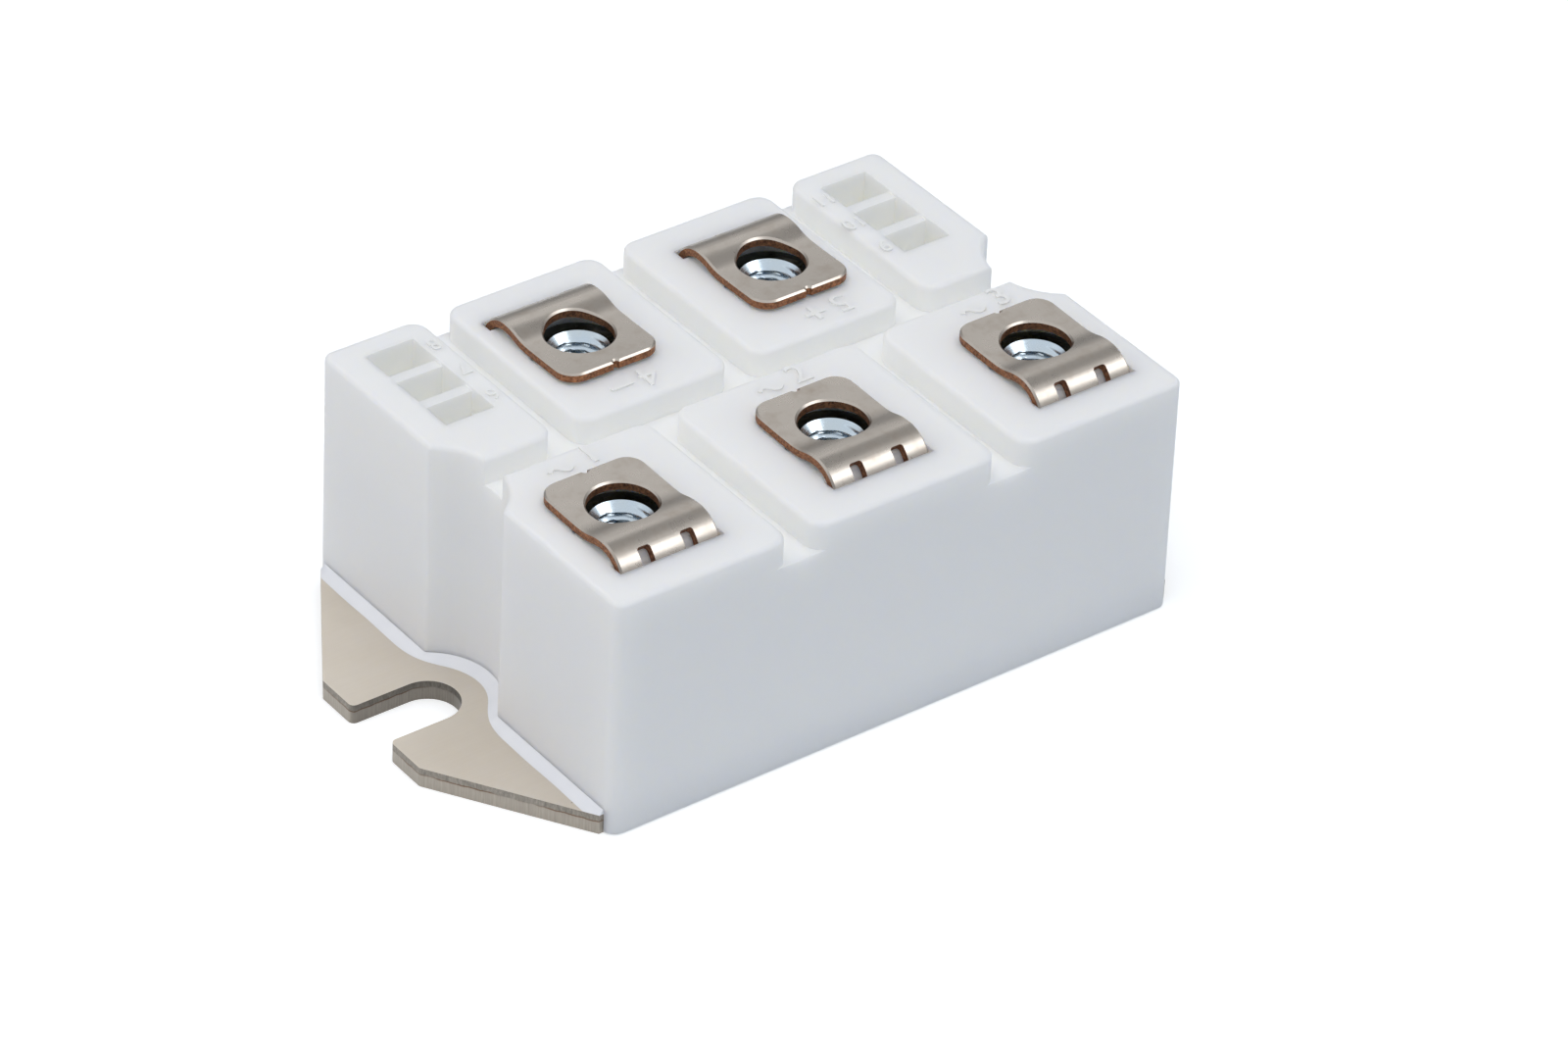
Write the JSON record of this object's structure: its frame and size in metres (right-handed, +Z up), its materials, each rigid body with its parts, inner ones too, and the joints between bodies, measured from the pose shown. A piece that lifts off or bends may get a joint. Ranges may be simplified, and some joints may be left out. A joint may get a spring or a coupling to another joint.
{
  "type": "bridge rectifier module",
  "caption": "Screw-terminal power module: white moulded housing with raised pads, grooves and bent terminal strips on a slotted metal base plate.",
  "frame": {"origin": "middle of the base plate's underside", "axes": "+X along the module through both fixing slots, +Z up out of the terminals, -Y the side with the three alternating-current terminals"},
  "size_m": [0.094, 0.0532, 0.0303],
  "materials": {
    "white_moulding": "glass-filled moulding, satin",
    "nickel_plate": "dull nickel plating on copper",
    "terminal_strip": "nickel plating on copper, bare cut edges",
    "zinc_nut": "bright zinc",
    "silicone_bead": "smooth cured silicone",
    "silicone_gel": "clear soft gel",
    "alumina": "white sintered ceramic",
    "bare_copper": "bright rolled copper",
    "silicon": "dark polished silicon"
  },
  "bodies": {
    "root": {"base_plate": "nickel_plate", "housing": "white_moulding", "sealing_bead": "silicone_bead", "substrate_ceramic": "alumina", "substrate_back_copper": "bare_copper", "silicone_gel": "silicone_gel", "terminal_ac_1": "terminal_strip", "nut_ac_1": "zinc_nut", "island_ac_1": "bare_copper", "terminal_ac_2": "terminal_strip", "nut_ac_2": "zinc_nut", "island_ac_2": "bare_copper", "terminal_ac_3": "terminal_strip", "nut_ac_3": "zinc_nut", "island_ac_3": "bare_copper", "terminal_minus": "terminal_strip", "nut_minus": "zinc_nut", "island_minus": "bare_copper", "terminal_plus": "terminal_strip", "nut_plus": "zinc_nut", "island_plus": "bare_copper", "chip_low_1": "silicon", "clip_low_1": "bare_copper", "chip_low_2": "silicon", "clip_low_2": "bare_copper", "chip_low_3": "silicon", "clip_low_3": "bare_copper", "chip_high_1": "silicon", "clip_high_1": "bare_copper", "chip_high_2": "silicon", "clip_high_2": "bare_copper", "chip_high_3": "silicon", "clip_high_3": "bare_copper"}
  },
  "joints": []
}
